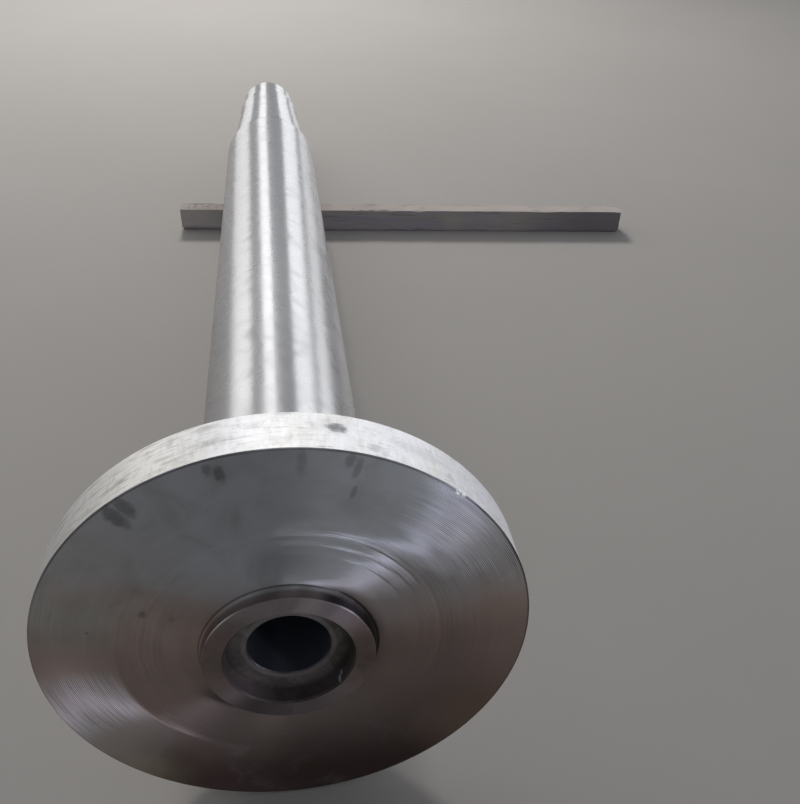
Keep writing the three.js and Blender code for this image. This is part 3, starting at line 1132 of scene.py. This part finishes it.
def timber_material():
    """Weathered sawn wood: grey grain along it, cracks, pale dust on what faces up, and painted light and
    shade.
    """
    tree = new_tree("weathered_wood")
    point = tree.point()
    own = tree.split(point)
    x = own[0]
    up = tree.split(tree.made("ShaderNodeNewGeometry", output="Normal"))[2]
    grain = tree.streaks(own, (5.0, 190.0, 190.0), 4.0, 0.65)
    bands = tree.streaks(own, (2.5, 38.0, 38.0), 3.0, 0.6, 0.6)
    cracks = tree.streaks(own, (7.0, 120.0, 120.0), 2.0, 0.5, 0.4)
    stains = tree.noise(point, 7.0, 4.0, 0.6, 0.5)
    specks = tree.noise(point, 260.0, 3.0)
    dust = up.ramp(0.35, 0.85) * stains.ramp(0.25, 0.55, 0.72, 1.0)
    base = tree.paint(
        tree.mix(grain, (0.15, 0.134, 0.134), (0.27, 0.246, 0.24)),
        (bands.ramp(0.42, 0.68, 0.0, 0.6), (0.18, 0.172, 0.205)),
        (stains.ramp(0.5, 0.7, 0.0, 0.6), (0.24, 0.224, 0.175)),
        (cracks.ramp(0.66, 0.74, 0.0, 0.55), (0.06, 0.054, 0.055)),
        # Painted light towards the left end and painted shade towards the right end
        (x.ramp(-0.55, -0.85, 0.0, 0.65), (0.46, 0.42, 0.4)),
        (x.ramp(0.35, 0.8, 0.0, 0.75), (0.09, 0.08, 0.08)),
        (dust, tree.mix(specks, (0.36, 0.315, 0.285), (0.52, 0.46, 0.415))),
    )
    height = grain * 0.6 - cracks.ramp(0.62, 0.72)
    normal = tree.bump(specks, 0.0004, tree.bump(height, 0.0012))
    return tree.shade(base, 0.0, grain.ramp(0.2, 0.8, 0.78, 0.95), normal)


def crumb_material():
    """Dry pale dirt."""
    tree = new_tree("dry_dirt")
    point = tree.point()
    base = tree.mix(tree.noise(point, 60.0, 4.0), (0.3, 0.255, 0.225), (0.56, 0.51, 0.46))
    return tree.shade(base, 0.0, 0.95, tree.bump(tree.noise(point, 900.0, 2.0, 0.5), 0.0006))


# Stage and light

FLOOR_SIZE = 60.0

# Bright bands overhead: left side, right side, brightness and colour. They slope down to the far end.
BANDS = (
    (-6.6, -2.85, 1.01, (1.0, 0.985, 0.96)),
    (-1.62, -0.74, 1.14, (1.0, 0.995, 0.985)),
    (0.94, 3.1, 1.11, (0.97, 0.985, 1.0)),
    (4.2, 8.6, 1.02, (0.98, 0.99, 1.0)),
)
BAND_NEAR = (-1.0, 4.25)
BAND_FAR = (14.0, 0.5)

# The floor's own light: one from far behind, which gives the soft shadows in front, and broad ones.
# Place, target, size and brightness.
FLOOR_LIGHTS = (
    ("floor_key", (-0.7, 6.5, 5.0), (-0.6, 0.2, 0), (1.6, 1.2), 47.0),
    ("floor_fill", (-5.0, 7.0, 4.2), (-5.0, 7.0, 0), (8.0, 12.0), 0.48),
    ("floor_top", (-1.0, 0.0, 6.0), (-1.0, 0.0, 0), (8.0, 8.0), 0.1),
)
FLOOR_TINT = (1.0, 0.98, 0.95)

# Lights that the turned face shows as fans: place from its middle, size, brightness, colour
FACE_LIGHTS = (
    ("window", (3.6, -2.22, 0.72), (0.56, 0.9), 19.6, (0.79, 0.81, 1.0)),
    ("front_windows", (3.0, -5.8, 1.5), (5.5, 1.3), 1.1, (0.88, 0.94, 1.0)),
    ("window_low", (2.9, -0.95, -0.17), (1.3, 0.34), 3.2, (0.92, 0.92, 1.0)),
)

# Faint lights close to the floor in front of the flange, facing up: place, size, brightness, colour
CARDS = (
    ("card_left", (-1.15, -2.0, 0.012), (0.9, 0.5), 0.06, (1.0, 0.97, 0.94)),
    ("card_right", (0.4, -2.02, 0.012), (1.0, 0.56), 0.12, (1.0, 0.88, 0.84)),
)
CARD_AIM = (0, 0.02, 1)

# Soft white lights overhead for the top of the flange's rim: place, size, brightness
RIM_LIGHTS = (
    ("rim_far", (-1.1, 1.7, 3.3), (1.5, 1.6), 1.15),
    ("rim_top", (-0.36, -0.95, 3.2), (1.1, 1.0), 4.8),
)
RIM_TINT = (1.0, 1.0, 1.0)


def add_area_light(name, place, target, size, radiance, tint, floor, state="EXCLUDE"):
    """A rectangle of light that the camera doesn't see, on the floor alone (INCLUDE) or off it (EXCLUDE)."""
    data = bpy.data.lights.new(name, "AREA")
    data.shape = "RECTANGLE"
    data.size, data.size_y = size
    data.energy = radiance * math.pi * size[0] * size[1]
    data.color = tint
    light = add_object(name, data)
    light.location = place
    light.rotation_euler = (target - place).normalized().to_track_quat("-Z", "Y").to_euler()
    light.visible_camera = False
    receivers = bpy.data.collections.new(name + "_receivers")
    receivers.objects.link(floor)
    receivers.collection_objects[0].light_linking.link_state = state
    light.light_linking.receiver_collection = receivers
    return light


def add_bands(floor):
    """Long soft lights above the shaft, whose reflections run along its body."""
    near = Vector((0, *BAND_NEAR))
    far = Vector((0, *BAND_FAR))
    run = far - near
    side = Vector((1, 0, 0))
    up = side.cross(run).normalized()
    turn = Matrix((side, up.cross(side), up)).transposed()
    for index, (left, right, radiance, tint) in enumerate(BANDS):
        middle = (near + far) / 2 + Vector(((left + right) / 2, 0, 0))
        size = (right - left, run.length)
        light = add_area_light(f"band_{index}", middle, middle - up, size, radiance, tint, floor)
        light.matrix_world = Matrix.Translation(middle) @ turn.to_4x4()


def add_lights(floor):
    """All lights. The floor has its own, so that the bands don't wash it out."""
    add_bands(floor)
    for name, place, target, *rest in FLOOR_LIGHTS:
        add_area_light(name, Vector(place), Vector(target), *rest, FLOOR_TINT, floor, "INCLUDE")
    mount_point = mount("coupling_face")[0]
    face = mount_point - Vector((0, 0, MOUNT_OFFSET))
    for name, offset, *rest in FACE_LIGHTS:
        add_area_light(name, face + Vector(offset), face, *rest, floor)
    for name, place, *rest in CARDS:
        add_area_light(name, Vector(place), Vector(place) + Vector(CARD_AIM), *rest, floor)
    for name, place, *rest in RIM_LIGHTS:
        add_area_light(name, Vector(place), mount_point, *rest, RIM_TINT, floor)


def add_world():
    """A soft studio sky: brighter behind the object than in front of it, plain where the camera sees it."""
    world = bpy.data.worlds.new("studio")
    tree = Tree(world)
    bpy.context.scene.world = world
    _, depth, height = tree.split(tree.made("ShaderNodeTexCoord", output="Generated"))
    light = tree.mix(depth.ramp(-0.35, 0.25), (0.23, 0.247, 0.27), (0.4, 0.405, 0.42))
    light = tree.mix(height.ramp(0.7, 0.95), light, (0.08, 0.08, 0.085))
    plain = tree.mix(height.ramp(-0.02, 0.4), (0.15, 0.15, 0.15), (0.46, 0.46, 0.47))
    seen = tree.made("ShaderNodeLightPath", output="Is Camera Ray")
    tree.put(tree.mix(seen, light, plain), tree.nodes["Background"].inputs["Color"])


def add_floor():
    """A plain pale floor."""
    half = FLOOR_SIZE / 2
    mesh = bpy.data.meshes.new("floor")
    corners = ((-half, -half, 0), (half, -half, 0), (half, half, 0), (-half, half, 0))
    mesh.from_pydata(corners, [], [(0, 1, 2, 3)])
    tree = new_tree("pale_floor")
    tree.nodes["Principled BSDF"].inputs["Specular IOR Level"].default_value = 0.2
    base = tree.mix(tree.noise(tree.point(), 1.3, 5.0), (0.44, 0.42, 0.4), (0.48, 0.46, 0.44))
    mesh.materials.append(tree.shade(base, 0.0, 0.9))
    floor = add_object("floor", mesh)
    return floor


def main():
    add_camera()
    make_shaft([bore_material(), recess_material(), face_material(), rim_material(), body_material()])
    make_timber(timber_material())
    make_crumbs(crumb_material())
    floor = add_floor()
    add_world()
    add_lights(floor)
    bpy.context.scene.view_settings.view_transform = "Standard"


main()
